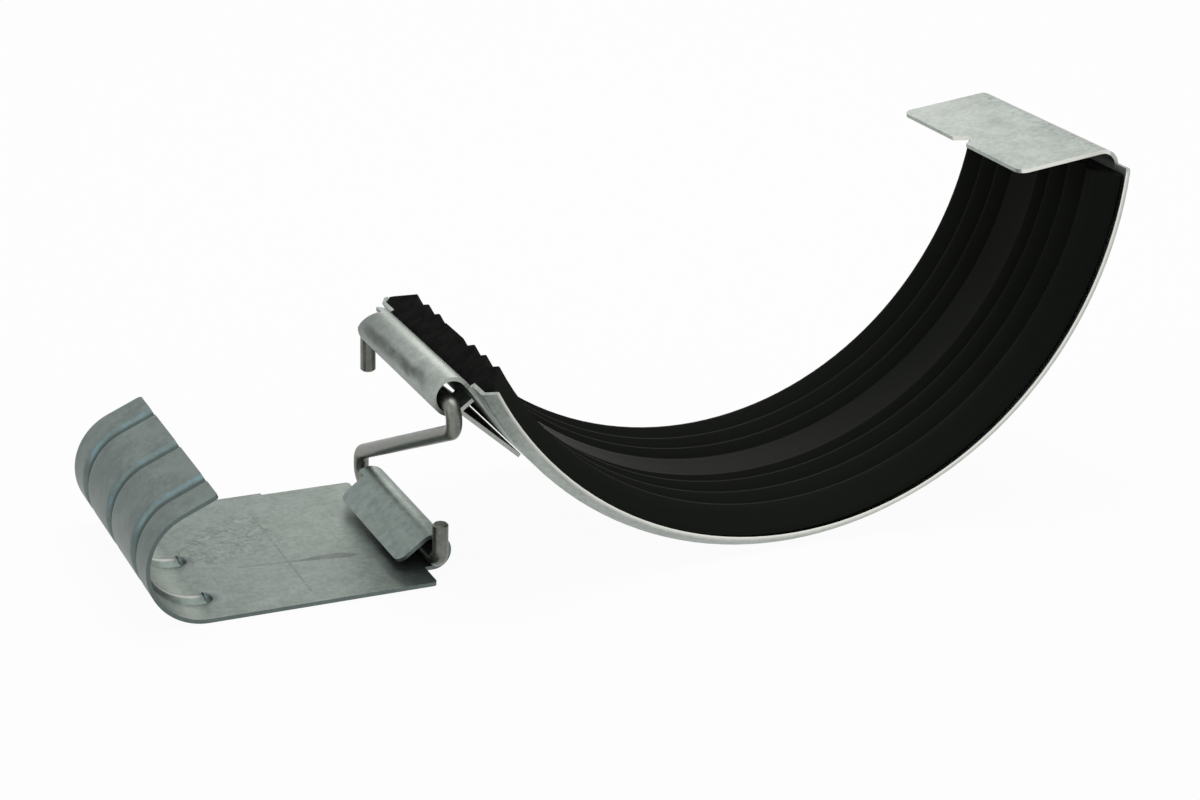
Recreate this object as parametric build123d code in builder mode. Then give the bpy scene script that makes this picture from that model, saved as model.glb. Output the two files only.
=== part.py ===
from build123d import *
import os
from math import acos, cos, degrees, radians, sin, tan

# Gutter connector for a half-round gutter: a folded strap lined with a ribbed gasket, and a lock
# plate that hangs from the strap's rolled front end on a bent wire link.
# The origin is the centre of the half-round. +X points to the rear, +Y along the gutter, +Z up.

# Seat for the gutter
gutter_radius = 63.2
gutter_clearance = 0.3
gasket_height = 5.2
gasket_play = 0.05

# Folded sheet
sheet = 0.75
sheet_corner = 2.0
edge_corner = 0.8

# Strap, with angles from the bottom of the half-round
near_edge = 27.6
near_lip_run = 2.5
far_edge = 26.2
far_lip_run = 1.5
lip_slope = 35.0
rear_angle = 86.8
rear_bend_angle = 86.0
front_angle = 62.6
straight_angle = 53.2

# Rear tab
tab_width = 43.2
tab_length = 18.0
tab_slope = 7.3
tab_bend_radius = 3.3
notch_width = 4.9
notch_depth = 3.4

# Rolled tube and its tongue at the front end
straight_width = 42.0
roll_near_end = 20.0
roll_far_end = 18.6
roll_bore_radius = 2.9
roll_reach = 12.0
roll_far_taper = 3.0
roll_closing_angle = 90.0
tongue_half_width = 14.0
tongue_angle = 41.3
tongue_end_angle = 45.0
tongue_bend_radius = 2.2
tongue_gap = 0.05

# Gasket, with rib places from its middle
rib_crests = (8.65, 14.15, 20.2)
rib_depth = 2.0
rib_flat = 0.25
band_half_width = 4.3
band_drop = 0.45
band_groove = 6.2
margin_drop = 3.4
margin_chamfer = 0.6
gasket_lip_gap = 0.6
gasket_side_play = 0.3
gasket_end_angle = 85.7

# Wire link
wire_diameter = 2.9
wire_play = 0.25
wire_chamfer = 0.3
link_set_back = 0.65
wire_bend_radius = 2.6
side_play = 0.2
near_leg_drop = 4.4
far_leg_rise = 5.2
far_leg_gap = 2.8
stub_length = 8.8
near_stub_length = 7.8

# Lock plate
plate_length = 43.7
plate_near_edge = 20.5
plate_far_edge = 28.3
plate_step = 0.8
plate_step_length = 17.5
plate_end_gap = 0.45
fold_bore_radius = 2.7
fold_near_end = 13.9
fold_far_end = 20.0
flap_turn = 217.0
flap_length = 6.0
flap_far_end = 17.5
hook_radius = 10.6
hook_turn = 156.0
hook_lip_length = 7.0
rib_count = 3
rib_half_width = 1.8
rib_height = 1.1
rib_bend_radius = 1.5
rib_tail = 1.2


def on_circle(radius, angle):
    """Point in the XZ plane at an angle from the bottom, positive to the rear."""
    return Vector(radius * sin(radians(angle)), -radius * cos(radians(angle)))


def heading(angle):
    """Unit vector in the XZ plane at an angle from +X, positive towards +Z."""
    return Vector(cos(radians(angle)), sin(radians(angle)))


def sheet_plane(start, direction, start_y=0.0):
    """Plane of a flat sheet that leaves a point of the XZ plane, with its y direction along Y."""
    return Plane(
        origin=(start.X, start_y, start.Y),
        x_dir=(direction.X, 0, direction.Y),
        z_dir=(-direction.Y, 0, direction.X),
    )


def hook_plane(turn):
    """Plane through the hook curl's axis, its x direction outward, turned from the bottom."""
    outward = heading(-90 - turn)
    back = heading(-turn)
    return Plane(
        origin=(curl_center.X, 0, curl_center.Y),
        x_dir=(outward.X, 0, outward.Y),
        z_dir=(back.X, 0, back.Y),
    )


def ribbed_section(turn):
    """Section of the hook's sheet, with its pressed ribs standing into the hook."""
    with BuildSketch(hook_plane(turn)) as section:
        with BuildLine():
            points = [(hook_radius, -plate_near_edge)]
            for place in rib_places:
                points.append((hook_radius, place - rib_half_width))
                points.append((hook_radius - rib_height, place))
                points.append((hook_radius, place + rib_half_width))
            points.append((hook_radius, plate_far_edge))
            FilletPolyline(*points, radius=rib_bend_radius)
        trace(line_width=sheet)
    return section.sketch


def radial_plane(angle):
    """Plane through the half-round's axis, with its x direction along the radius."""
    outward = on_circle(1, angle)
    onward = heading(angle)
    return Plane(
        origin=(0, 0, 0), x_dir=(outward.X, 0, outward.Y), z_dir=(onward.X, 0, onward.Y)
    )


# Radii of the half-round
crest_radius = gutter_radius + gutter_clearance
gasket_back_radius = crest_radius + gasket_height
floor_radius = gasket_back_radius + gasket_play
strap_radius = floor_radius + sheet
middle_radius = floor_radius + sheet / 2
ground = -strap_radius

# Front end of the strap: straight from its tangent point, then rolled outward
straight_out = on_circle(1, -straight_angle)
straight_up = heading(180 - straight_angle)
straight_start = on_circle(middle_radius, -straight_angle)
roll_start = straight_start + straight_up * roll_reach
roll_radius = roll_bore_radius + sheet / 2
roll_center = roll_start + straight_out * roll_radius
front_turn = front_angle - straight_angle

# The gasket lies between the strap's lips, the same to both sides
floor_half_width = min(near_edge - near_lip_run, far_edge - far_lip_run)
gasket_back_half_width = floor_half_width - gasket_side_play
gasket_half_width = min(near_edge, far_edge) - gasket_lip_gap

# The tongue's line, and the knee that turns the roll into it
tongue_radius = strap_radius + tongue_gap + sheet / 2
tongue_turn = 180 + straight_angle - tongue_angle
knee_drop = roll_center.dot(on_circle(1, -tongue_angle)) + roll_radius - tongue_radius
knee_angle = degrees(acos(1 - knee_drop / (roll_radius + tongue_bend_radius)))

# The link's two axes hang on one vertical line
link_x = roll_center.X - link_set_back
wire_radius = wire_diameter / 2
bore_slack = roll_bore_radius - wire_radius - wire_play
roll_axis_z = roll_center.Y - (bore_slack**2 - (roll_center.X - link_x) ** 2) ** 0.5
fold_radius = fold_bore_radius + sheet / 2
fold_center = Vector(link_x - wire_play, ground + sheet / 2 + fold_radius)
fold_slack = fold_bore_radius - wire_radius - wire_play
fold_axis_z = fold_center.Y - (fold_slack**2 - (fold_center.X - link_x) ** 2) ** 0.5


def tray_outline():
    """Closed outline of the strap's tray, radius along x and the gutter's length along y."""
    rise = tan(radians(lip_slope))
    with BuildLine() as outline:
        Polyline(
            (floor_radius - near_lip_run * rise, -near_edge),
            (floor_radius, -near_edge + near_lip_run),
            (floor_radius, far_edge - far_lip_run),
            (floor_radius - far_lip_run * rise, far_edge),
        )
        offset(amount=sheet, side=Side.RIGHT)
    return outline.edges()


def tray_arc(start_angle, end_angle, gap):
    """Stretch of the tray between two angles, left open over a width in its middle."""
    with BuildSketch(radial_plane(start_angle)) as section:
        make_face(tray_outline())
        if gap:
            with Locations((floor_radius, 0)):
                Rectangle(4 * sheet, gap, mode=Mode.SUBTRACT)
    return revolve(section.sketch, axis=Axis.Y, revolution_arc=start_angle - end_angle)


with BuildPart() as strap:
    # Half-round tray with its lips, whole from the rear bend to the straight front end
    add(tray_arc(rear_bend_angle, -straight_angle, 0))
    add(tray_arc(rear_angle, rear_bend_angle, tab_width))
    add(tray_arc(-straight_angle, -front_angle, straight_width - 2 * sheet))

    # Shoulder between each edge and the straight sheet
    shoulder_place = (straight_width - sheet) / 2
    shoulder_planes = (Plane.XZ.offset(shoulder_place), Plane.XZ.offset(-shoulder_place))
    with BuildSketch(*shoulder_planes) as shoulder:
        with BuildLine():
            shoulder_start = on_circle(floor_radius, -straight_angle)
            inner = RadiusArc(
                shoulder_start, on_circle(floor_radius, -front_angle), floor_radius
            )
            Polyline(
                inner @ 1,
                on_circle(strap_radius / cos(radians(front_turn)), -front_angle),
                on_circle(strap_radius, -straight_angle),
                shoulder_start,
            )
        make_face()
    extrude(amount=sheet / 2, both=True)

    # Straight sheet between the shoulders
    with BuildSketch(Plane.XZ) as straight:
        with BuildLine():
            Line(straight_start, roll_start)
        trace(line_width=sheet)
    extrude(amount=straight_width / 2 - sheet, both=True)

    # Rolled tube, its tongue lying back towards the tray's outer face
    with BuildSketch(Plane.XZ) as roll:
        with BuildLine():
            curl = JernArc(roll_start, straight_up, roll_radius, tongue_turn + knee_angle)
            knee = JernArc(curl @ 1, curl % 1, tongue_bend_radius, -knee_angle)
            tongue_end = on_circle(tongue_radius, -tongue_end_angle)
            Line(knee @ 1, knee @ 1 + (knee % 1) * (tongue_end - knee @ 1).length)
        trace(line_width=sheet)
    extrude(amount=tongue_half_width, both=True)

    # Beside the tongue, the tube closes on the straight sheet
    for side, roll_end in ((-1, roll_near_end), (1, roll_far_end)):
        place = side * (roll_end + tongue_half_width) / 2
        with BuildSketch(Plane.XZ.offset(-place)) as closed_roll:
            with BuildLine():
                curl = JernArc(roll_start, straight_up, roll_radius, 180 + roll_closing_angle)
                closing = (curl @ 1 - straight_start).dot(straight_out) - sheet
                closing_run = closing / sin(radians(roll_closing_angle))
                Line(curl @ 1, curl @ 1 + (curl % 1) * closing_run)
            trace(line_width=sheet)
        extrude(amount=(roll_end - tongue_half_width) / 2, both=True)

    # The far end of the tube is cut back at the top
    with BuildSketch(Plane.YZ.offset(roll_center.X)) as far_cut:
        with BuildLine():
            Polyline(
                (roll_far_end, roll_center.Y),
                (roll_far_end - roll_far_taper, roll_center.Y + roll_radius + sheet),
                (roll_far_end, roll_center.Y + roll_radius + sheet),
                close=True,
            )
        make_face()
    extrude(amount=-2 * roll_radius, mode=Mode.SUBTRACT)

    # Rear bend and tab
    with BuildSketch(Plane.XZ) as rear_bend:
        with BuildLine():
            bend = JernArc(
                on_circle(middle_radius, rear_bend_angle),
                heading(rear_bend_angle),
                tab_bend_radius,
                180 + tab_slope - rear_bend_angle,
            )
        trace(line_width=sheet)
    extrude(amount=tab_width / 2, both=True)
    with BuildSketch(sheet_plane(bend @ 1, bend % 1)) as tab:
        Rectangle(tab_length, tab_width, align=(Align.MIN, Align.CENTER))
        fillet(tab.vertices().group_by(Axis.X)[-1], sheet_corner)
        with BuildLine():
            Polyline(
                (tab_length, notch_width / 2),
                (tab_length - notch_depth, 0),
                (tab_length, -notch_width / 2),
                close=True,
            )
        make_face(mode=Mode.SUBTRACT)
    extrude(amount=sheet / 2, both=True)

strap.part.label = "strap"


with BuildPart() as gasket:
    # Ribbed section, mirrored about the middle and swept round the tray
    with BuildSketch(radial_plane(gasket_end_angle)) as ribs:
        with BuildLine() as half_section:
            points = [
                (gasket_back_radius, 0),
                (crest_radius + band_drop, 0),
                (crest_radius + band_drop, band_half_width),
                (crest_radius + rib_depth, band_groove),
            ]
            for count, crest in enumerate(rib_crests):
                points.append((crest_radius, crest - rib_flat))
                points.append((crest_radius, crest + rib_flat))
                if count + 1 < len(rib_crests):
                    valley = (crest + rib_crests[count + 1]) / 2
                    points.append((crest_radius + rib_depth, valley))
            margin_radius = crest_radius + margin_drop
            points.append((margin_radius, gasket_half_width - margin_chamfer))
            points.append((margin_radius + margin_chamfer, gasket_half_width))
            points.append((gasket_back_radius, gasket_back_half_width))
            Polyline(*points, close=True)
        make_face()
        mirror(about=Plane.XZ)
    revolve(axis=Axis.Y, revolution_arc=gasket_end_angle + front_angle)

    # Its back follows the straight front end of the strap
    with BuildSketch(Plane.XZ) as back:
        back_start = on_circle(gasket_back_radius, -straight_angle)
        with BuildLine():
            inner = RadiusArc(
                back_start, on_circle(gasket_back_radius, -front_angle), gasket_back_radius
            )
            Polyline(
                inner @ 1,
                back_start + straight_up * (gasket_back_radius * sin(radians(front_turn))),
                back_start,
            )
        make_face()
    extrude(amount=straight_width / 2 - 1.5 * sheet, both=True)

gasket.part.label = "gasket"


with BuildPart() as wire_link:
    near_leg = -(roll_near_end + wire_bend_radius + side_play)
    far_stub = roll_far_end + wire_bend_radius + side_play
    near_stub = -(fold_near_end + wire_bend_radius + side_play)
    far_leg = fold_far_end + wire_bend_radius + far_leg_gap
    # In the vertical plane of the link, from the far stub to the near one
    with BuildLine(Plane.YZ.offset(link_x)) as wire_path:
        FilletPolyline(
            (far_stub, roll_axis_z - stub_length),
            (far_stub, roll_axis_z),
            (near_leg, roll_axis_z),
            (near_leg, roll_axis_z - near_leg_drop),
            (far_leg, fold_axis_z + far_leg_rise),
            (far_leg, fold_axis_z),
            (near_stub, fold_axis_z),
            (near_stub, fold_axis_z + near_stub_length),
            radius=wire_bend_radius,
        )
    with BuildSketch(Plane(origin=wire_path.line @ 0, z_dir=wire_path.line % 0)) as wire_section:
        Circle(wire_radius)
    sweep(path=wire_path.line)
    chamfer(wire_link.faces().filter_by(GeomType.PLANE).edges(), wire_chamfer)

wire_link.part.label = "wire_link"


# The plate lies flat on the strap's lowest level
plate_width = plate_near_edge + plate_far_edge
plate_middle = (plate_far_edge - plate_near_edge) / 2
plate_level = ground + sheet / 2
plate_end = link_x - wire_radius - plate_end_gap
curl_center = Vector(fold_center.X - plate_length, plate_level + hook_radius)
rib_pitch = plate_width / rib_count
rib_places = [rib_pitch * (rib + 0.5) - plate_near_edge for rib in range(rib_count)]

with BuildPart() as lock_plate:
    # Flat, its far edge stepped in beside the fold
    with BuildSketch(Plane.XY.offset(ground)) as flat:
        with Locations((plate_end, plate_middle)):
            Rectangle(
                plate_end - curl_center.X - rib_tail,
                plate_width,
                align=(Align.MAX, Align.CENTER),
            )
        with Locations((plate_end, plate_far_edge)):
            Rectangle(
                plate_step_length,
                2 * plate_step,
                align=(Align.MAX, Align.CENTER),
                mode=Mode.SUBTRACT,
            )
        fillet(flat.vertices().group_by(Axis.X)[-1], edge_corner)
    extrude(amount=sheet)

    # Ribbed sheet: a short flat, the hook curl and the hook's straight lip
    curl_axis = Axis((curl_center.X, 0, curl_center.Y), (0, 1, 0))
    extrude(ribbed_section(0), amount=rib_tail)
    revolve(ribbed_section(0), axis=curl_axis, revolution_arc=hook_turn)
    extrude(ribbed_section(hook_turn), amount=-hook_lip_length)
    lip_end = curl_center + heading(-90 - hook_turn) * hook_radius
    lip_end = lip_end - heading(-hook_turn) * hook_lip_length
    lip_corners = lock_plate.edges().filter_by(GeomType.LINE).filter_by(
        lambda edge: abs(edge.length - sheet) < sheet / 100
    )
    fillet(lip_corners.sort_by_distance((lip_end.X, plate_middle, lip_end.Y))[:2], edge_corner)

    # Each rib ends in a hollow dome on the flat
    dome_x = curl_center.X + rib_tail
    dome_level = plate_level + rib_height - rib_bend_radius
    dome_axis = Axis((dome_x, 0, dome_level), (0, 1, 0))
    for radius, mode in (
        (rib_bend_radius + sheet / 2, Mode.ADD),
        (rib_bend_radius - sheet / 2, Mode.SUBTRACT),
    ):
        with BuildSketch(Plane.YZ.offset(dome_x)) as dome:
            with Locations(*[(place, dome_level) for place in rib_places]):
                Circle(radius)
            with Locations((plate_middle, dome_level)):
                Rectangle(
                    plate_width,
                    2 * radius,
                    align=(Align.CENTER, Align.MAX),
                    mode=Mode.SUBTRACT,
                )
        revolve(axis=dome_axis, revolution_arc=90, mode=mode)
    with Locations((dome_x, plate_middle, ground)):
        Box(
            plate_width,
            2 * plate_width,
            rib_bend_radius,
            align=(Align.CENTER, Align.CENTER, Align.MAX),
            mode=Mode.SUBTRACT,
        )

    # Knuckle fold round the wire
    fold_middle = (fold_far_end - fold_near_end) / 2
    fold_width = fold_far_end + fold_near_end
    with BuildSketch(Plane.XZ.offset(-fold_middle)) as fold:
        with BuildLine():
            entry = Line((plate_end - sheet, plate_level), (fold_center.X, plate_level))
            knuckle = JernArc(entry @ 1, entry % 1, fold_radius, flap_turn)
        trace(line_width=sheet)
    extrude(amount=fold_width / 2, both=True)

    # Flap that leaves the fold
    with BuildSketch(sheet_plane(knuckle @ 1, knuckle % 1, -fold_near_end)) as flap:
        Rectangle(flap_length, flap_far_end + fold_near_end, align=(Align.MIN, Align.MIN))
        fillet(flap.vertices().group_by(Axis.X)[-1], sheet_corner)
    extrude(amount=sheet / 2, both=True)

lock_plate.part.label = "lock_plate"


os.makedirs("parts", exist_ok=True)
export_step(strap.part, "parts/strap.step")
export_step(gasket.part, "parts/gasket.step")
export_step(wire_link.part, "parts/wire_link.step")
export_step(lock_plate.part, "parts/lock_plate.step")
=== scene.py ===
from math import asin, atan2, radians

import bpy
from mathutils import Euler, Matrix, Vector


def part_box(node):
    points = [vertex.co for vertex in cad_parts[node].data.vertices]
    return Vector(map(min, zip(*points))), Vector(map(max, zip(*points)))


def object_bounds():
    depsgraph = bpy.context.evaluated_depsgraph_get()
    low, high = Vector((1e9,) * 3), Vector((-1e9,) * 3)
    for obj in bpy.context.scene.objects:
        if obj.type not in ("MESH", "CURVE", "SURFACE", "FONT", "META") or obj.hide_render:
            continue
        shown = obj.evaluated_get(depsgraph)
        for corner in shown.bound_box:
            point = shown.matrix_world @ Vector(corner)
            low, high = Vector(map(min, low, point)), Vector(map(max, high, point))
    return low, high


# A gutter connector on a pale studio floor: galvanised sheet, drawn wire and black rubber.
# Lengths are in metres, except in the table of streaks, which is in millimetres.

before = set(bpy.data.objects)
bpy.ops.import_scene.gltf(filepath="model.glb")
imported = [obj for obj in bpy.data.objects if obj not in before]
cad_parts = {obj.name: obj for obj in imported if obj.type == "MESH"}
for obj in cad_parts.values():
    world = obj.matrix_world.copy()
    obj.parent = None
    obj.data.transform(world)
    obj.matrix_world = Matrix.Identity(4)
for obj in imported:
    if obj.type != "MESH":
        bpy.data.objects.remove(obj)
cad_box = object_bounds()
strap_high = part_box("strap")[1]
plate_low, plate_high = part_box("lock_plate")

MM = 0.001

# Tones, as linear colours
STRAP_DARK = (0.255, 0.285, 0.262, 1)
STRAP_LIGHT = (0.43, 0.465, 0.43, 1)
STRAP_EDGE_HIGHLIGHT = (0.8, 0.8, 0.74, 1)
TUBE_PAINTED_SHADE = (0.125, 0.148, 0.138, 1)
TUBE_DARK_STREAK = (0.075, 0.088, 0.078, 1)
TAB_SCUFF = (0.17, 0.18, 0.165, 1)
PLATE_DARK = (0.114, 0.14, 0.128, 1)
PLATE_LIGHT = (0.186, 0.222, 0.203, 1)
PLATE_EDGE_SHADE = (0.1, 0.132, 0.128, 1)
PLATE_WORN = (0.33, 0.36, 0.34, 1)
HOOK_PAINTED_SHADE = (0.082, 0.112, 0.107, 1)
FLAP_PAINTED_LIGHT = (0.235, 0.283, 0.262, 1)
SMUDGE = (0.055, 0.07, 0.062, 1)
GROOVE_PAINTED_SHADE = (0.045, 0.066, 0.067, 1)
GROOVE_PAINTED_GLEAM = (0.15, 0.228, 0.25, 1)
RIB_PAINTED_GLINT = (0.5, 0.5, 0.45, 1)
WIRE_DARK = (0.12, 0.125, 0.108, 1)
WIRE_LIGHT = (0.205, 0.213, 0.188, 1)
RUBBER_END_SHADE = (0.0018, 0.0021, 0.0018, 1)
RUBBER_DARK = (0.0112, 0.0126, 0.0104, 1)
RUBBER_SHEEN_AND_LINES = (0.0182, 0.0192, 0.016, 1)
FLOOR_PAINT = (0.8, 0.8, 0.8, 1)
WORLD_COLOUR = (0.95, 0.98, 1.0, 1)
WHITE = (1, 1, 1, 1)

# Noise patterns: waves per metre, detail, roughness, distortion
CLOUD = (75, 5.0, 0.6, 0.0)
MOTTLE = (260, 4.0, 0.6, 0.4)
GRAIN = (1000, 5.0, 0.7, 0.0)
ROLLED = (420, 4.0, 0.6, 0.0)
SPECKS = (2200, 2.0, 0.5, 0.0)
DARK_STREAK_WANDER = (120, 3.0, 0.55, 0.0)
DARK_STREAK_BLOTCHES = (330, 5.0, 0.65, 0.0)
TAB_SCUFFS = (900, 4.0, 0.7, 0.0)
HOOK_BLOTCHES = (150, 5.0, 0.65, 0.0)
GROOVE_GLEAM_PATCHES = (190, 4.0, 0.65, 0.0)
DROP_MOTTLE = (420, 4.0, 0.6, 0.0)
SCRIBE_GAPS = (520, 4.0, 0.7, 0.0)
CREASES = (560, 9.0, 0.8, 0.6)
RUBS = (260, 6.0, 0.7, 0.2)
FLAP_MOTTLE = (480, 6.0, 0.75, 0.0)
WIRE_SCRATCHES = (500, 5.0, 0.6, 0.0)
WIRE_FLECKS = (1400, 3.0, 0.6, 0.0)
MOULD_LINES = (260, 5.0, 0.65, 0.0)
DUST = (60, 5.0, 0.6, 0.0)
END_MOTTLE = (420, 6.0, 0.75, 0.0)
PORES = (2500, 2.0, 0.55, 0.0)
NOISE_MIDDLE = 0.5

# Scales of the stretched patterns along X, Y and Z
ROLLED_SCALE = (0.25, 1, 0.25)
BLOTCH_SCALE = (1, 0.4, 1)
SCUFF_SCALE = (0.5, 1, 1)
SCRATCH_SCALE = (1, 0.15, 0.6)
MOULD_LINE_SCALE = (0.05, 6, 0.05)

# Sheet: shares of the patterns in its tone and relief, spread of the tone, finish
SHEET = 0.75 * MM
CLOUD_SHARE = 0.28
MOTTLE_SHARE = 0.26
GRAIN_SHARE = 0.42
ROLLED_SHARE = 0.04
GRAIN_ROUGHNESS = 0.1
MOTTLE_RELIEF = 0.8
STRAP_SPREAD = 0.16
PLATE_SPREAD = 0.12
METALLIC = 0.9
METAL_IOR = 1.5
RELIEF = 0.05 * MM
STRAP_RELIEF_STRENGTH = 0.12
PLATE_RELIEF_STRENGTH = 0.14

# Ramps: low and high of what goes in, then start and end of what comes out where that isn't 0 and 1
DARK_SPECKS = (0.7, 0.76, 0, 0.45)
PALE_SPECKS = (0.31, 0.26, 0, 0.4)
SHEET_ROUGHNESS = (0.3, 0.7, 0.34, 0.44)

# A cut edge's normal lies nearly along Y, a face's does not
CUT_EDGE = (0.7, 0.76)

# The strap's lips, with a painted highlight on the cut edges along their inner corners
LIP_RADIUS = 67.0 * MM
LIP_EDGE_HIGHLIGHT = (LIP_RADIUS + 0.75 * SHEET, LIP_RADIUS, 0.25, 1)

# The strap's rolled tube, with painted shade towards its far end and a darker streak along its front
TUBE_X = -65.16 * MM
TUBE_Z = -33.76 * MM
TUBE_RADIUS = 3.65 * MM
ON_TUBE = (TUBE_RADIUS + 0.6 * MM, TUBE_RADIUS + 0.1 * MM)
# Painted shade along the tube, its share rising from the near end to the far end
PAINTED_SHADE_ALONG_TUBE = (-14 * MM, 22 * MM, 0.15, 0.75)
# The darker streak along the tube's front
DARK_STREAK_SIDE = Vector((-0.95, 0.31))
DARK_STREAK_FROM = (1.5 * MM, 2.5 * MM)
DARK_STREAK_TO = (5 * MM, 4 * MM)
DARK_STREAK_REACH = 2.5 * MM
DARK_STREAK_ACROSS = (0.35 * MM, 1.3 * MM)
DARK_STREAK_ALONG = (13 * MM, 5 * MM)
DARK_STREAK_STRENGTH = (0.36, 0.6, 0.5, 0.95)

# Scuffs on the strap's rear tab
SCUFFS_X = strap_high.x - 4.6 * MM
SCUFFS_ACROSS = (1.0 * MM, 1.0 * MM)
ON_TAB = (-6 * MM, -5 * MM)
SCUFF_STRENGTH = (0.52, 0.62, 0, 0.6)

# The lock plate's curled hook and the ribs pressed into it
HOOK_RADIUS = 10.6 * MM
HOOK_X = plate_low.x + HOOK_RADIUS + SHEET / 2
HOOK_Z = plate_low.z + HOOK_RADIUS + SHEET / 2
HOOK_OUTSIDE = (0, 1 * MM)
HOOK_INSIDE = (0, -1 * MM)
HOOK_ABOVE_FLAT = (plate_low.z + 1 * MM, plate_low.z + 4 * MM)
# Painted shade on the hook's outer face where it turns down
HOOK_TURNED_SHADE = (-0.4, -0.95, 0.2, 0.55)
HOOK_BLOTCH_STRENGTH = (0.46, 0.66, 0, 0.5)
RIB_COUNT = 3
RIB_PITCH = (plate_high.y - plate_low.y) / RIB_COUNT
RIB_PLACES = [plate_low.y + RIB_PITCH * (rib + 0.5) for rib in range(RIB_COUNT)]
RIB_END_X = HOOK_X + 1.2 * MM
ON_RIBS = (RIB_END_X, RIB_END_X - 0.8 * MM)
# Painted gleams along the grooves outside, in patches, fainter lower down
GLEAM_PATCHES = (0.4, 0.62, 0.08, 1)
GLEAM_HEIGHT = (HOOK_Z - 2 * MM, HOOK_Z + 7 * MM, 0.15, 1)
DIMPLE_X = RIB_END_X + 0.8 * MM
# Painted shade in the dimples at the ribs' ends
DIMPLE_SHADE = (0.4 * MM, 2.8 * MM, 0.9, 0)

# Lines along a rib, a painted gleam and a painted shade line outside and a painted glint inside: place from
# its middle, half width, softness
GLEAM_LINE = (1.25 * MM, 0.1 * MM, 0.8 * MM)
SHADE_LINE = (0.35 * MM, 0.15 * MM, 0.5 * MM)
SHADE_LINE_STRENGTH = 0.75
GLINT_LINE = (-0.3 * MM, 0.05 * MM, 0.45 * MM)
GLINT_LINE_STRENGTH = 0.7

# The lock plate's flat and flap
FLAT_FROM = (plate_low.z + 0.5 * SHEET, plate_low.z + 0.8 * SHEET)
FLAT_TO = (plate_low.z + 2 * SHEET, plate_low.z + 1.4 * SHEET)
# The flap and the knuckle, which get painted light
FLAP_X = (-82 * MM, -81 * MM)
FLAP_Z = (plate_low.z + 2 * SHEET, plate_low.z + 3 * SHEET)
FLAP_LIGHT_PATCHES = (0.34, 0.66, 0.3, 1)
# Painted shade on the plate's cut edges
PLATE_EDGE_SHADE_STRENGTH = 0.6

# Streaks on the flat, in millimetres: start, end, width at each of them and softness, then strength
DROP_STREAKS = (
    ((-78.2, -4.2), (-81.0, -3.5), 0.55, 0.95, 0.5, 1),
    ((-81.0, -3.5), (-87.5, -3.3), 0.95, 0.15, 0.5, 1),
    ((-87.5, -3.3), (-99.0, -2.2), 0.2, 0.0, 0.5, 0.6),
)
SCRIBE_STREAKS = (
    ((-89.9, -16.0), (-89.9, 21.0), 0.05, 0.05, 0.32, 0.6),
    ((-78.2, -3.0), (-78.6, 9.0), 0.02, 0.02, 0.3, 0.25),
    ((-104.4, -18.5), (-104.4, -4.0), 0.02, 0.02, 0.3, 0.18),
)
PATCH_STREAKS = (((-93.5, 13.0), (-103.0, 6.5), 3.0, 2.5, 7.5, 1),)
DROP_STRENGTH = 0.72
DROP_MOTTLED = (0.35, 0.6, 0.7, 1)
SCRIBE_BROKEN = (0.35, 0.62, 0.2, 1)
CREASED = (0.5, 0.6)
CREASE_STRENGTH = 0.7
CREASE_RELIEF = -0.8
RUBBED = (0.45, 0.36)
RUB_STRENGTH = 0.35

# Wire
SCRATCH_SHARE = 0.7
FLECK_SHARE = 0.3
WIRE_TONE = (0.36, 0.64)
WIRE_ROUGHNESS = (0.3, 0.7, 0.28, 0.42)
WIRE_RELIEF = 0.04 * MM
WIRE_RELIEF_STRENGTH = 0.15

# Rubber, ribbed to seat the gutter, with a plain band in the middle
GUTTER_SEAT_RADIUS = 63.5 * MM
RIB_DEPTH = 2.0 * MM
# Painted sheen, rising towards the rib crests
SLOPE_SHEEN = (-0.9 * RIB_DEPTH, 0, 0, 0.4)
CREST_SHEEN = (-0.5 * MM, -0.05 * MM, 0, 0.15)
BAND_HALF_WIDTH = 4.3 * MM
ON_BAND = (BAND_HALF_WIDTH - 0.3 * MM, 0.5 * MM)
# Painted sheen across the plain band, paler on its near side, and a painted highlight line near its near
# edge
BAND_SHEEN_ACROSS = (-0.8 * BAND_HALF_WIDTH, BAND_HALF_WIDTH, 0.95, 0.4)
BAND_HIGHLIGHT_Y = -BAND_HALF_WIDTH + 0.7 * MM
BAND_HIGHLIGHT = (0.15 * MM, 0.5 * MM)
BAND_HIGHLIGHT_STRENGTH = 0.25
DUSTED = (0.3, 0.7, 0.6, 1.0)
LINED = (0.3, 0.7, 0.65, 1.1)
PALE_LINES = (0.45, 0.7, 0.0, 0.16)
END_RADIAL = (0.45, 0.3)
END_SIDEWAYS = (0.6, 0.4)
END_MOTTLED = (0.38, 0.62, 0.55, 1)
PORE_RELIEF = 0.5
RUBBER_SPECULAR = 0.009
RUBBER_ROUGHNESS = (0.3, 0.7, 0.42, 0.56)
RUBBER_RELIEF_STRENGTH = 0.1

# Studio
FLOOR_SIZE = 6.0
FLOOR_GAP = 0.02 * MM
FLOOR_SHOWN = 0.95
FLOOR_ROUGHNESS = 0.9
FLOOR_SPECULAR = 0.1
WORLD_LEVEL = 0.42
LAMP_TARGET = Vector((0, 0, -0.03))

# Lamps: name, place, width and height, power, colour
LAMPS = (
    ("overhead", (0.1, 0.15, 0.7), (0.7, 0.5), 3.2, (1, 1, 1)),
    ("window", (0.3, 0.84, 0.26), (0.3, 0.3), 0.6, (1.0, 0.97, 0.9)),
    ("left_fill", (-0.8, -0.1, 0.3), (0.4, 0.4), 0.5, (0.9, 0.97, 1.0)),
)

# Camera, as the photograph was taken
CAMERA_PLACE = Vector((-0.2267, -0.4284, 0.1393))
CAMERA_LOOK = Vector((0.3925, 0.8435, -0.3667))
CAMERA_ROLL = 1.77
LENS_MM = 81.09
SENSOR_MM = 36.0


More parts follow.
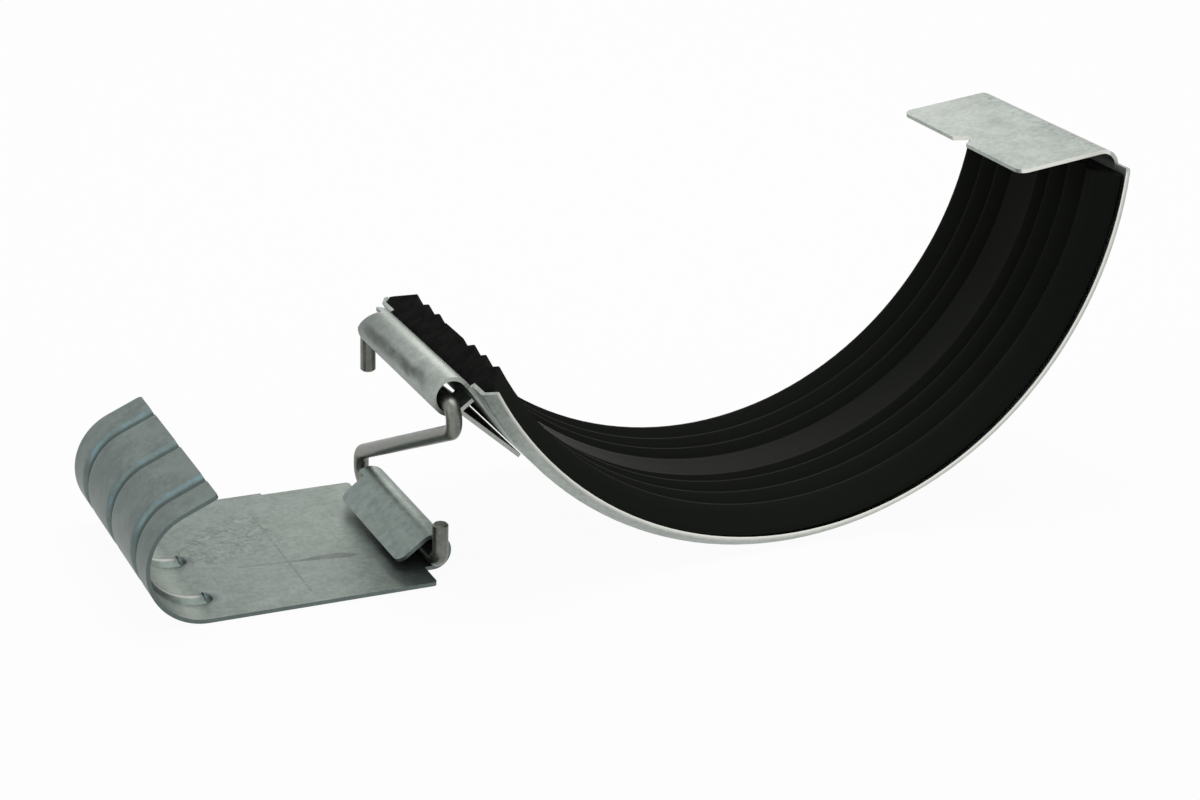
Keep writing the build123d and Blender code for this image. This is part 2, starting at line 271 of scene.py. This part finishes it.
class Graph:
    """Short forms for the nodes of one material."""

    def __init__(self, name):
        self.material = bpy.data.materials.new(name)
        self.material.use_nodes = True
        self.tree = self.material.node_tree
        self.shader = self.tree.nodes["Principled BSDF"]
        surface = self.node("ShaderNodeTexCoord")
        self.place = surface.outputs["Object"]
        self.x, self.y, self.z = self.parts(self.place)
        self.facing_x, self.facing_y, self.facing_z = self.parts(surface.outputs["Normal"])

    def node(self, kind, **settings):
        made = self.tree.nodes.new(kind)
        for key, value in settings.items():
            setattr(made, key, value)
        return made

    def put(self, value, socket):
        """Links an output to a socket, or sets the socket to a plain value."""
        if isinstance(value, bpy.types.NodeSocket):
            self.tree.links.new(value, socket)
        else:
            socket.default_value = value

    def parts(self, vector):
        """X, Y and Z of a vector."""
        made = self.node("ShaderNodeSeparateXYZ")
        self.put(vector, made.inputs["Vector"])
        return made.outputs["X"], made.outputs["Y"], made.outputs["Z"]

    def noise(self, pattern, stretch=None):
        """A noise pattern over the piece, whose coordinates may be scaled along their axes first."""
        place = self.place
        if stretch:
            mapping = self.node("ShaderNodeMapping")
            self.put(place, mapping.inputs["Vector"])
            self.put(stretch, mapping.inputs["Scale"])
            place = mapping.outputs["Vector"]
        made = self.node("ShaderNodeTexNoise")
        self.put(place, made.inputs["Vector"])
        for name, value in zip(("Scale", "Detail", "Roughness", "Distortion"), pattern):
            self.put(value, made.inputs[name])
        return made.outputs["Fac"]

    def math(self, operation, first, second=0.0, clamp=False):
        made = self.node("ShaderNodeMath", operation=operation, use_clamp=clamp)
        self.put(first, made.inputs[0])
        self.put(second, made.inputs[1])
        return made.outputs["Value"]

    def chain(self, operation, values):
        result = values[0]
        for value in values[1:]:
            result = self.math(operation, result, value)
        return result

    def add(self, *values):
        return self.chain("ADD", values)

    def times(self, *values):
        return self.chain("MULTIPLY", values)

    def most(self, *values):
        return self.chain("MAXIMUM", values)

    def minus(self, first, second):
        return self.math("SUBTRACT", first, second)

    def size(self, value):
        """A value without its sign."""
        return self.math("ABSOLUTE", value)

    def length(self, *values):
        """Length of a vector, given its parts."""
        return self.math("SQRT", self.add(*[self.math("POWER", value, 2) for value in values]))

    def ramp(self, value, low, high, start=0.0, end=1.0):
        """Value taken smoothly from the span low..high to start..end."""
        made = self.node("ShaderNodeMapRange", interpolation_type="SMOOTHSTEP")
        for key, number in (
            ("Value", value), ("From Min", low), ("From Max", high), ("To Min", start), ("To Max", end)
        ):
            self.put(number, made.inputs[key])
        return made.outputs["Result"]

    def within(self, value, middle, half_width, softness):
        """1 near a value, falling to 0 past its half width."""
        return self.ramp(self.size(self.minus(value, middle)), half_width, half_width + softness, 1, 0)

    def blend(self, amount, first, second):
        made = self.node("ShaderNodeMix", data_type="RGBA")
        self.put(amount, made.inputs["Factor"])
        self.put(first, made.inputs[6])
        self.put(second, made.inputs[7])
        return made.outputs[2]

    def bump(self, height, strength, distance):
        made = self.node("ShaderNodeBump")
        self.put(height, made.inputs["Height"])
        self.put(strength, made.inputs["Strength"])
        self.put(distance, made.inputs["Distance"])
        self.put(made.outputs["Normal"], self.shader.inputs["Normal"])

    def set(self, **values):
        """Puts values on the main shader, spaces in its socket names written as underscores."""
        for key, value in values.items():
            self.put(value, self.shader.inputs[key.replace("_", " ")])


def zinc(graph, dark, light, spread):
    """Colour, roughness and relief of galvanised sheet: soft clouds and mottling over grain."""
    cloud = graph.noise(CLOUD)
    mottle = graph.noise(MOTTLE)
    grain = graph.noise(GRAIN)
    rolled = graph.noise(ROLLED, ROLLED_SCALE)
    tone = graph.add(
        graph.times(cloud, CLOUD_SHARE),
        graph.times(mottle, MOTTLE_SHARE),
        graph.times(grain, GRAIN_SHARE),
        graph.times(rolled, ROLLED_SHARE),
    )
    colour = graph.blend(graph.ramp(tone, NOISE_MIDDLE - spread, NOISE_MIDDLE + spread), dark, light)
    specks = graph.noise(SPECKS)
    colour = graph.blend(graph.ramp(specks, *DARK_SPECKS), colour, SMUDGE)
    colour = graph.blend(graph.ramp(specks, *PALE_SPECKS), colour, STRAP_LIGHT)
    roughness = graph.add(graph.ramp(cloud, *SHEET_ROUGHNESS), graph.times(grain, GRAIN_ROUGHNESS))
    return colour, roughness, graph.add(grain, graph.times(mottle, MOTTLE_RELIEF))


def cut_edges(graph):
    """1 on the sheet's cut edges, 0 on its faces."""
    return graph.ramp(graph.size(graph.facing_y), *CUT_EDGE)


def streak(graph, start, end, start_width, end_width, softness, strength):
    """A straight tapering streak of the XY plane, given in mm: its strength, falling to 0 outside it."""
    run = (Vector(end) - Vector(start)) * MM
    along = run.normalized()
    from_x = graph.minus(graph.x, start[0] * MM)
    from_y = graph.minus(graph.y, start[1] * MM)
    travelled = graph.add(graph.times(from_x, along.x), graph.times(from_y, along.y))
    share = graph.math("DIVIDE", travelled, run.length, clamp=True)
    side = graph.minus(graph.times(from_y, along.x), graph.times(from_x, along.y))
    past = graph.minus(travelled, graph.times(share, run.length))
    width = graph.add(start_width * MM, graph.times(share, (end_width - start_width) * MM))
    outside = graph.minus(graph.length(side, past), width)
    return graph.times(graph.ramp(outside, 0, softness * MM, 1, 0), strength)


def streaks(graph, rows):
    return graph.most(*[streak(graph, *row) for row in rows])


def strap_material():
    graph = Graph("galvanised_strap")
    colour, roughness, relief = zinc(graph, STRAP_DARK, STRAP_LIGHT, STRAP_SPREAD)
    # Painted shade: the tube is darkened, most of all towards its far end
    from_x = graph.minus(graph.x, TUBE_X)
    from_z = graph.minus(graph.z, TUBE_Z)
    on_tube = graph.ramp(graph.length(from_x, from_z), *ON_TUBE)
    colour = graph.blend(graph.times(on_tube, graph.ramp(graph.y, *PAINTED_SHADE_ALONG_TUBE)), colour, TUBE_PAINTED_SHADE)
    # A mottled darker streak along the tube's front
    outward = graph.add(graph.times(from_x, DARK_STREAK_SIDE.x), graph.times(from_z, DARK_STREAK_SIDE.y))
    across = graph.minus(graph.times(from_z, DARK_STREAK_SIDE.x), graph.times(from_x, DARK_STREAK_SIDE.y))
    on_front = graph.times(graph.ramp(outward, *DARK_STREAK_FROM), graph.ramp(outward, *DARK_STREAK_TO))
    wander = graph.times(graph.minus(graph.noise(DARK_STREAK_WANDER), NOISE_MIDDLE), DARK_STREAK_REACH)
    dark_streak = graph.within(graph.add(across, wander), 0, *DARK_STREAK_ACROSS)
    dark_streak = graph.times(dark_streak, on_front, graph.within(graph.y, 0, *DARK_STREAK_ALONG))
    dark_streak = graph.times(dark_streak, graph.ramp(graph.noise(DARK_STREAK_BLOTCHES, BLOTCH_SCALE), *DARK_STREAK_STRENGTH))
    colour = graph.blend(dark_streak, colour, TUBE_DARK_STREAK)
    # Scuffs beside the rear bend
    beside_bend = graph.times(graph.within(graph.x, SCUFFS_X, *SCUFFS_ACROSS), graph.ramp(graph.z, *ON_TAB))
    scuffs = graph.ramp(graph.noise(TAB_SCUFFS, SCUFF_SCALE), *SCUFF_STRENGTH)
    colour = graph.blend(graph.times(beside_bend, scuffs), colour, TAB_SCUFF)
    # Painted highlight on the bare cut edges, strongest along the lips' inner corners
    edge_highlight = graph.ramp(graph.length(graph.x, graph.z), *LIP_EDGE_HIGHLIGHT)
    colour = graph.blend(graph.times(cut_edges(graph), edge_highlight), colour, STRAP_EDGE_HIGHLIGHT)
    graph.set(Base_Color=colour, Roughness=roughness, Metallic=METALLIC, IOR=METAL_IOR)
    graph.bump(relief, STRAP_RELIEF_STRENGTH, RELIEF)
    return graph.material


def hook_marks_and_painted_light(graph, colour):
    """Marks the hook: painted shade where its outer face turns down, lighter blotches, bluish painted
    gleams on the far side of the grooves outside and painted shade lines in them, and painted glints along
    the ribs and painted shade in the dimples inside.
    """
    from_x = graph.minus(graph.x, HOOK_X)
    from_z = graph.minus(graph.z, HOOK_Z)
    outward = graph.add(graph.times(graph.facing_x, from_x), graph.times(graph.facing_z, from_z))
    outside = graph.times(graph.ramp(outward, *HOOK_OUTSIDE), graph.ramp(graph.z, *HOOK_ABOVE_FLAT))
    inside = graph.ramp(outward, *HOOK_INSIDE)
    on_ribs = graph.times(inside, graph.ramp(graph.x, *ON_RIBS))
    # Painted shade: the outer face is darker where it turns down
    turned_shade = graph.ramp(graph.facing_x, *HOOK_TURNED_SHADE)
    colour = graph.blend(graph.times(outside, turned_shade), colour, HOOK_PAINTED_SHADE)
    blotches = graph.ramp(graph.noise(HOOK_BLOTCHES), *HOOK_BLOTCH_STRENGTH)
    colour = graph.blend(graph.times(outside, blotches), colour, PLATE_LIGHT)
    gleam_patches = graph.ramp(graph.noise(GROOVE_GLEAM_PATCHES), *GLEAM_PATCHES)
    gleam_patches = graph.times(gleam_patches, graph.ramp(graph.z, *GLEAM_HEIGHT))
    # Along each rib: a painted gleam and a painted shade line in the groove outside, a painted glint
    # inside, and painted shade in its dimple
    for middle in RIB_PLACES:
        gleam, dark, sheen_and_lines = [
            graph.within(graph.y, middle + off_middle, half_width, softness)
            for off_middle, half_width, softness in (GLEAM_LINE, SHADE_LINE, GLINT_LINE)
        ]
        colour = graph.blend(graph.times(gleam, outside, gleam_patches), colour, GROOVE_PAINTED_GLEAM)
        colour = graph.blend(graph.times(dark, outside, SHADE_LINE_STRENGTH), colour, GROOVE_PAINTED_SHADE)
        colour = graph.blend(graph.times(sheen_and_lines, on_ribs, GLINT_LINE_STRENGTH), colour, RIB_PAINTED_GLINT)
        off_dimple = graph.length(graph.minus(graph.x, DIMPLE_X), graph.minus(graph.y, middle))
        dimple_shade = graph.times(graph.ramp(off_dimple, *DIMPLE_SHADE), inside)
        colour = graph.blend(dimple_shade, colour, GROOVE_PAINTED_SHADE)
    return colour


def plate_material():
    graph = Graph("galvanised_plate")
    colour, roughness, relief = zinc(graph, PLATE_DARK, PLATE_LIGHT, PLATE_SPREAD)
    colour = hook_marks_and_painted_light(graph, colour)
    on_flat = graph.times(graph.ramp(graph.z, *FLAT_FROM), graph.ramp(graph.z, *FLAT_TO))
    # A grey stain shaped like a drop, with its tail towards the hook
    mottled = graph.ramp(graph.noise(DROP_MOTTLE), *DROP_MOTTLED)
    drop = graph.times(streaks(graph, DROP_STREAKS), mottled, DROP_STRENGTH)
    # Broken lines scribed across the plate
    broken = graph.ramp(graph.noise(SCRIBE_GAPS), *SCRIBE_BROKEN)
    scribes = graph.times(streaks(graph, SCRIBE_STREAKS), broken)
    # A rough patch beside the hook, with dark creases and pale rubbed spots
    patch = streaks(graph, PATCH_STREAKS)
    creases = graph.ramp(graph.noise(CREASES), *CREASED)
    rubs = graph.ramp(graph.noise(RUBS), *RUBBED)
    marks = graph.most(drop, scribes, graph.times(patch, creases, CREASE_STRENGTH))
    colour = graph.blend(graph.times(marks, on_flat), colour, SMUDGE)
    colour = graph.blend(graph.times(patch, rubs, on_flat, RUB_STRENGTH), colour, PLATE_WORN)
    # Painted light: the flap and the knuckle are paler than the plate, in mottled patches
    on_flap = graph.times(graph.ramp(graph.z, *FLAP_Z), graph.ramp(graph.x, *FLAP_X))
    flap_light = graph.ramp(graph.noise(FLAP_MOTTLE), *FLAP_LIGHT_PATCHES)
    colour = graph.blend(graph.times(on_flap, flap_light), colour, FLAP_PAINTED_LIGHT)
    # Painted shade on the cut edges
    colour = graph.blend(graph.times(cut_edges(graph), PLATE_EDGE_SHADE_STRENGTH), colour, PLATE_EDGE_SHADE)
    graph.set(Base_Color=colour, Roughness=roughness, Metallic=METALLIC, IOR=METAL_IOR)
    relief = graph.add(relief, graph.times(patch, creases, on_flat, CREASE_RELIEF))
    graph.bump(relief, PLATE_RELIEF_STRENGTH, RELIEF)
    return graph.material


def wire_material():
    graph = Graph("drawn_wire")
    scratch = graph.noise(WIRE_SCRATCHES, SCRATCH_SCALE)
    fleck = graph.noise(WIRE_FLECKS)
    tone = graph.add(graph.times(scratch, SCRATCH_SHARE), graph.times(fleck, FLECK_SHARE))
    colour = graph.blend(graph.ramp(tone, *WIRE_TONE), WIRE_DARK, WIRE_LIGHT)
    roughness = graph.ramp(scratch, *WIRE_ROUGHNESS)
    graph.set(Base_Color=colour, Roughness=roughness, Metallic=METALLIC, IOR=METAL_IOR)
    graph.bump(scratch, WIRE_RELIEF_STRENGTH, WIRE_RELIEF)
    return graph.material


def rubber_material():
    graph = Graph("black_rubber")
    radius = graph.length(graph.x, graph.z)
    height = graph.minus(GUTTER_SEAT_RADIUS, radius)
    # Painted sheen: rib crests are paler than the valleys between them, and so is the plain band's near
    # side, with a painted highlight line along it
    rib_sheen = graph.add(graph.ramp(height, *SLOPE_SHEEN), graph.ramp(height, *CREST_SHEEN))
    band_sheen = graph.times(graph.within(graph.y, 0, *ON_BAND), graph.ramp(graph.y, *BAND_SHEEN_ACROSS))
    band_highlight = graph.times(graph.within(graph.y, BAND_HIGHLIGHT_Y, *BAND_HIGHLIGHT), BAND_HIGHLIGHT_STRENGTH)
    lines = graph.noise(MOULD_LINES, MOULD_LINE_SCALE)
    dusted = graph.ramp(graph.noise(DUST), *DUSTED)
    sheen_and_lines = graph.times(graph.most(rib_sheen, band_sheen), dusted, graph.ramp(lines, *LINED))
    sheen_and_lines = graph.add(sheen_and_lines, graph.ramp(lines, *PALE_LINES), band_highlight)
    colour = graph.blend(sheen_and_lines, RUBBER_DARK, RUBBER_SHEEN_AND_LINES)
    # Painted shade: the end faces, whose normals are neither radial nor along Y, are blackest
    radial = graph.add(graph.times(graph.facing_x, graph.x), graph.times(graph.facing_z, graph.z))
    radial = graph.math("DIVIDE", radial, radius)
    end_shade = graph.ramp(graph.size(radial), *END_RADIAL)
    end_shade = graph.times(end_shade, graph.ramp(graph.size(graph.facing_y), *END_SIDEWAYS))
    end_shade = graph.times(end_shade, graph.ramp(graph.noise(END_MOTTLE), *END_MOTTLED))
    colour = graph.blend(end_shade, colour, RUBBER_END_SHADE)
    roughness = graph.ramp(lines, *RUBBER_ROUGHNESS)
    graph.set(Base_Color=colour, Roughness=roughness, Specular_IOR_Level=RUBBER_SPECULAR)
    relief = graph.add(lines, graph.times(graph.noise(PORES), PORE_RELIEF))
    graph.bump(relief, RUBBER_RELIEF_STRENGTH, RELIEF)
    return graph.material


def dress(node, material):
    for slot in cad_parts[node].material_slots:
        slot.material = material


def white_rays(tree):
    """1 for the camera's own rays and for rays from gloss or glass, and 0 for every other."""
    path = tree.nodes.new("ShaderNodeLightPath")
    seen = path.outputs["Is Camera Ray"]
    for name in ("Is Glossy Ray", "Is Transmission Ray"):
        either = tree.nodes.new("ShaderNodeMath")
        either.operation = "MAXIMUM"
        tree.links.new(seen, either.inputs[0])
        tree.links.new(path.outputs[name], either.inputs[1])
        seen = either.outputs[0]
    return seen


def mix_by_rays(tree, share, first, second, surface):
    """Shows one shader or background to most rays, and a second one, by a share, to the white rays."""
    white = tree.nodes.new("ShaderNodeMath")
    white.operation = "MULTIPLY"
    white.inputs[1].default_value = share
    tree.links.new(white_rays(tree), white.inputs[0])
    mix = tree.nodes.new("ShaderNodeMixShader")
    tree.links.new(white.outputs[0], mix.inputs["Fac"])
    tree.links.new(first.outputs[0], mix.inputs[1])
    tree.links.new(second.outputs[0], mix.inputs[2])
    tree.links.new(mix.outputs[0], surface)


def make_floor():
    bpy.ops.mesh.primitive_plane_add(size=FLOOR_SIZE, location=(0, 0, cad_box[0].z - FLOOR_GAP))
    floor = bpy.context.object
    floor.name = "floor"
    material = bpy.data.materials.new("floor")
    material.use_nodes = True
    tree = material.node_tree
    paint = tree.nodes["Principled BSDF"]
    paint.inputs["Base Color"].default_value = FLOOR_PAINT
    paint.inputs["Roughness"].default_value = FLOOR_ROUGHNESS
    paint.inputs["Specular IOR Level"].default_value = FLOOR_SPECULAR
    glow = tree.nodes.new("ShaderNodeEmission")
    glow.inputs["Color"].default_value = WHITE
    mix_by_rays(tree, FLOOR_SHOWN, paint, glow, tree.nodes["Material Output"].inputs["Surface"])
    floor.data.materials.append(material)


def make_world():
    world = bpy.data.worlds.new("studio")
    bpy.context.scene.world = world
    world.use_nodes = True
    tree = world.node_tree
    lit = tree.nodes["Background"]
    lit.inputs["Color"].default_value = WORLD_COLOUR
    lit.inputs["Strength"].default_value = WORLD_LEVEL
    white = tree.nodes.new("ShaderNodeBackground")
    white.inputs["Color"].default_value = WHITE
    mix_by_rays(tree, 1, lit, white, tree.nodes["World Output"].inputs["Surface"])


def soft_lamp(name, place, sides, power, colour):
    data = bpy.data.lights.new(name, "AREA")
    data.shape = "RECTANGLE"
    data.size, data.size_y = sides
    data.energy = power
    data.color = colour
    lamp = bpy.data.objects.new(name, data)
    lamp.location = place
    lamp.rotation_euler = (LAMP_TARGET - Vector(place)).to_track_quat("-Z", "Y").to_euler()
    bpy.context.collection.objects.link(lamp)


def make_camera():
    data = bpy.data.cameras.new("camera")
    data.lens = LENS_MM
    data.sensor_width = SENSOR_MM
    data.sensor_fit = "HORIZONTAL"
    camera = bpy.data.objects.new("camera", data)
    bpy.context.collection.objects.link(camera)
    pitch = asin(CAMERA_LOOK.z)
    yaw = atan2(-CAMERA_LOOK.x, CAMERA_LOOK.y)
    aim = Euler((radians(90) + pitch, 0, yaw)).to_matrix().to_4x4()
    roll = Matrix.Rotation(radians(CAMERA_ROLL), 4, "Z")
    camera.matrix_world = Matrix.Translation(CAMERA_PLACE) @ aim @ roll
    bpy.context.scene.camera = camera


make_camera()
dress("strap", strap_material())
dress("lock_plate", plate_material())
dress("wire_link", wire_material())
dress("gasket", rubber_material())
make_floor()
make_world()
for row in LAMPS:
    soft_lamp(*row)
bpy.context.scene.view_settings.view_transform = "Standard"
